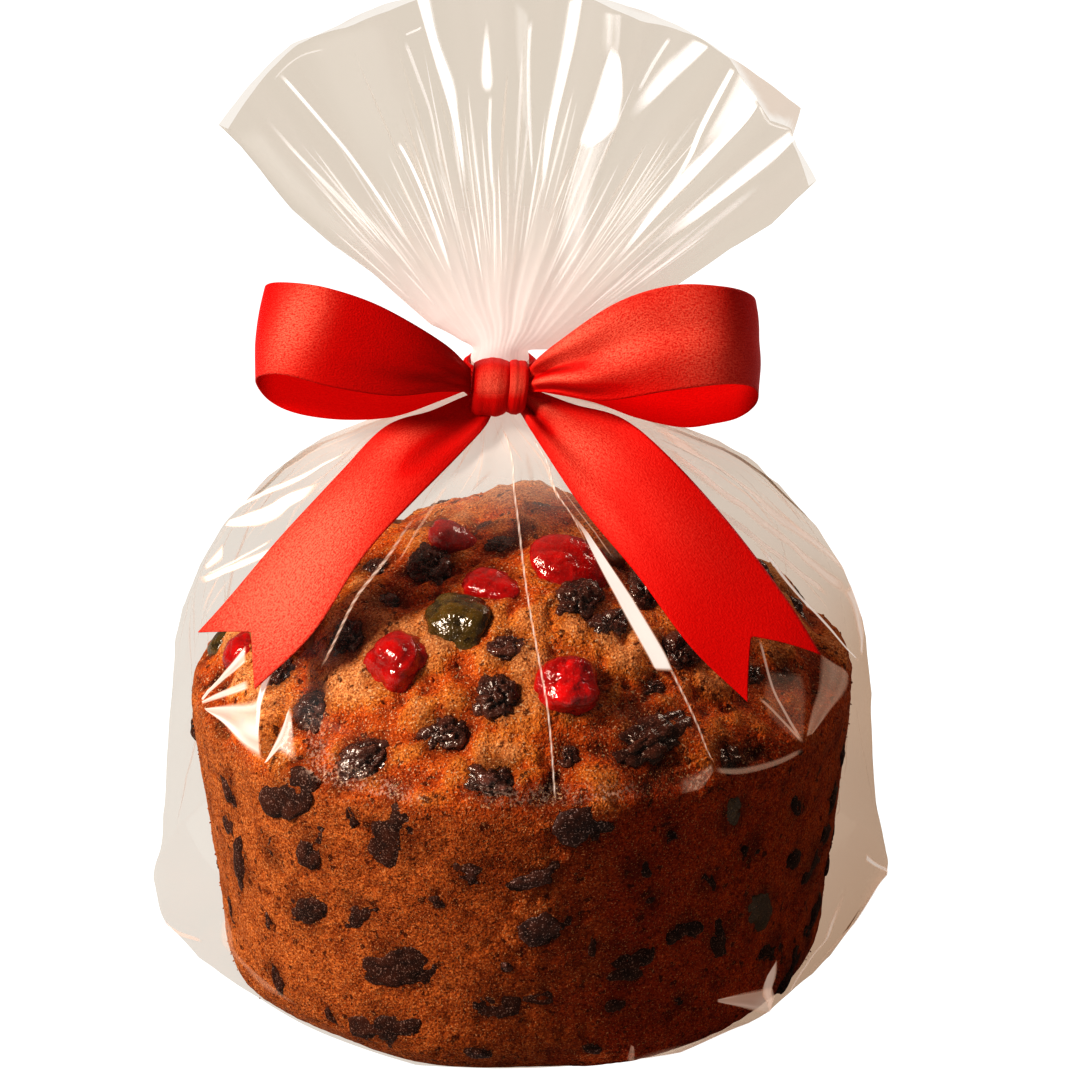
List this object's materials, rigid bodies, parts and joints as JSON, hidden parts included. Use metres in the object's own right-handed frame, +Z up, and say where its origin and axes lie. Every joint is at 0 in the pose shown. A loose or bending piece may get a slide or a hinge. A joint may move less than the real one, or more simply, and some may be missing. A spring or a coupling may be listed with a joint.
{
  "type": "wrapped fruit cake",
  "caption": "Round domed fruit cake in a clear bag gathered at the neck, with a fan of film above a satin ribbon bow.",
  "frame": {"origin": "centre of the bag's flat base, on the surface it stands on", "axes": "+Z up through the cake and the tied neck, front with the bow towards -Y, +X to the right seen from the front"},
  "size_m": [0.182, 0.171, 0.2599],
  "materials": {
    "film": "clear glossy cellophane, faintly warm where it is layered",
    "satin": "red satin ribbon with a fine weave and a soft sheen",
    "crumb": "baked crumb, porous and grainy, golden on top and brown at the side",
    "cherry": "glossy translucent candied cherry",
    "raisin": "dark wrinkled raisin with a dull gloss",
    "candied_green": "dark green candied peel, glossy",
    "nut": "roasted nut pieces"
  },
  "bodies": {
    "root": {"bag": "film", "bow_band": "satin", "bow_knot": "satin", "bow_loop_left": "satin", "bow_loop_right": "satin", "bow_tail_left": "satin", "bow_tail_right": "satin"}
  },
  "joints": []
}
